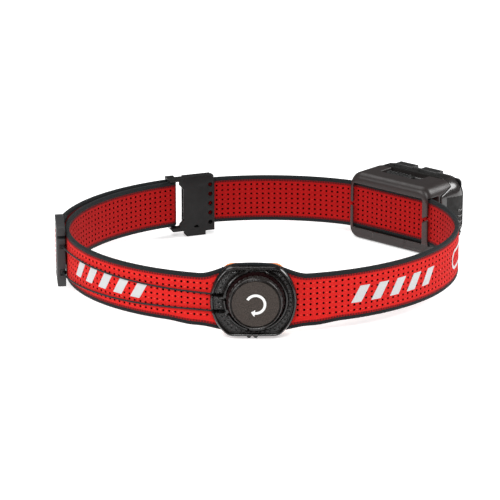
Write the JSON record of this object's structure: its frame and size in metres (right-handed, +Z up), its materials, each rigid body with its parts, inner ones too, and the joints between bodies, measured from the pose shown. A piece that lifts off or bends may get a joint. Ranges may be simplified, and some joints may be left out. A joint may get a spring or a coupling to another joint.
{
  "type": "headlamp",
  "caption": "Trail-running headlamp: tilting lamp head in a smoky bracket on a perforated headband, tightened by a lace dial, with a hook buckle for coarse fit.",
  "frame": {"origin": "on the resting surface, below the centre of the object's box", "axes": "+Z up with the headband lying as a level loop; the lace dial faces -Y; the lamp is at the back right, facing outwards"},
  "size_m": [0.211, 0.1934, 0.0382],
  "materials": {
    "webbing": "perforated woven red webbing with black bound edges and light grey reflective dashes",
    "cord": "thin braided black lace",
    "black_nylon": "fine matte moulded nylon",
    "dial_shell": "black elastomer with a leather-like grain, semi-gloss",
    "knob_face": "matte warm grey with a sandblasted grain",
    "grey_nylon": "matte dark grey moulded nylon",
    "steel": "bright turned steel",
    "red_polymer": "dark red acetal",
    "pad_foam": "orange spacer mesh over foam",
    "smoky_shell": "smoky translucent polycarbonate",
    "bezel": "matte black moulded polymer",
    "lens": "clear optical lens",
    "mirror": "vapour-metallised reflector",
    "aluminium": "bare machined aluminium",
    "board": "green solder mask",
    "emitter": "yellow phosphor under a clear dome",
    "cell": "blue shrink sleeve",
    "rubber": "matte black silicone rubber"
  },
  "bodies": {
    "root": {"headband_main": "webbing", "tension_strap": "webbing", "tension_lace": "cord", "buckle_frame": "black_nylon", "buckle_bar": "steel", "strap_slider": "black_nylon", "dial_base": "dial_shell", "dial_back_plate": "dial_shell", "head_pad": "pad_foam", "centre_post": "steel", "ratchet_ring": "red_polymer", "knob_retainer": "steel", "strap_bracket": "smoky_shell", "hinge_pin": "steel"},
    "lace_bracket": {"lace_bracket": "grey_nylon", "lace_bracket_bar": "steel", "strap_end_loop": "webbing"},
    "lace_spool": {"lace_spool": "red_polymer"},
    "knob_collar": {"knob_collar": "steel"},
    "dial_knob": {"knob_ring": "dial_shell", "knob_disc": "knob_face", "pawl_ring": "red_polymer"},
    "lamp_head": {"lamp_housing": "smoky_shell", "battery_cover": "smoky_shell", "front_gasket": "rubber", "front_bezel": "bezel", "spot_lens": "lens", "flood_lens": "lens", "spot_reflector": "mirror", "flood_reflector": "mirror", "bezel_screw_1": "steel", "bezel_screw_2": "steel", "bezel_screw_3": "steel", "bezel_screw_4": "steel", "battery_pack": "cell", "circuit_board": "board", "heat_sink": "aluminium", "led_board": "board", "spot_led": "emitter", "flood_led": "emitter", "usb_socket": "steel", "button_board": "board", "spot_switch": "steel", "flood_switch": "steel"},
    "spot_button": {"spot_button": "rubber"},
    "flood_button": {"flood_button": "rubber"},
    "battery_latch": {"battery_latch": "bezel"},
    "port_cover": {"usb_cover": "rubber"}
  },
  "joints": [
    {"name": "lamp_tilt", "type": "hinge", "parent": "root", "child": "lamp_head", "pos_m": [0.07446, 0.06594, 0.0026], "axis": [-0.7475, 0.6643, 0], "range_deg": [0, 60]},
    {"name": "spot_press", "type": "slide", "parent": "lamp_head", "child": "spot_button", "axis": [0, 0, -1], "range_m": [0, 0.0008], "stiffness_N_per_m": 1500},
    {"name": "flood_press", "type": "slide", "parent": "lamp_head", "child": "flood_button", "axis": [0, 0, -1], "range_m": [0, 0.0008], "stiffness_N_per_m": 1500},
    {"name": "latch_slide", "type": "slide", "parent": "lamp_head", "child": "battery_latch", "axis": [0.7475, -0.6643, 0], "range_m": [0, 0.006]},
    {"name": "port_cover_hinge", "type": "hinge", "parent": "lamp_head", "child": "port_cover", "pos_m": [0.06085, 0.09142, 0.018], "axis": [0, 0, -1], "range_deg": [0, 100]},
    {"name": "knob_pull", "type": "slide", "parent": "root", "child": "knob_collar", "axis": [0, -1, 0], "range_m": [0, 0.002]},
    {"name": "dial_turn", "type": "hinge", "parent": "knob_collar", "child": "dial_knob", "pos_m": [-0.00432, -0.08996, 0.01985], "axis": [0, 1, 0], "range_deg": [0, 360]},
    {"name": "spool_turn", "type": "hinge", "parent": "root", "child": "lace_spool", "pos_m": [-0.00432, -0.08996, 0.01985], "axis": [0, 1, 0], "range_deg": [0, 360]},
    {"name": "lace_bracket_travel", "type": "hinge", "parent": "root", "child": "lace_bracket", "pos_m": [-0.02465, -0.00214, 0.018], "axis": [0, 0, 1], "range_deg": [0, 9.2]}
  ],
  "couplings": [
    {"joint": "spool_turn", "follows": "dial_turn", "ratio": 1},
    {"joint": "lace_bracket_travel", "follows": "dial_turn", "ratio": 0.025555}
  ]
}
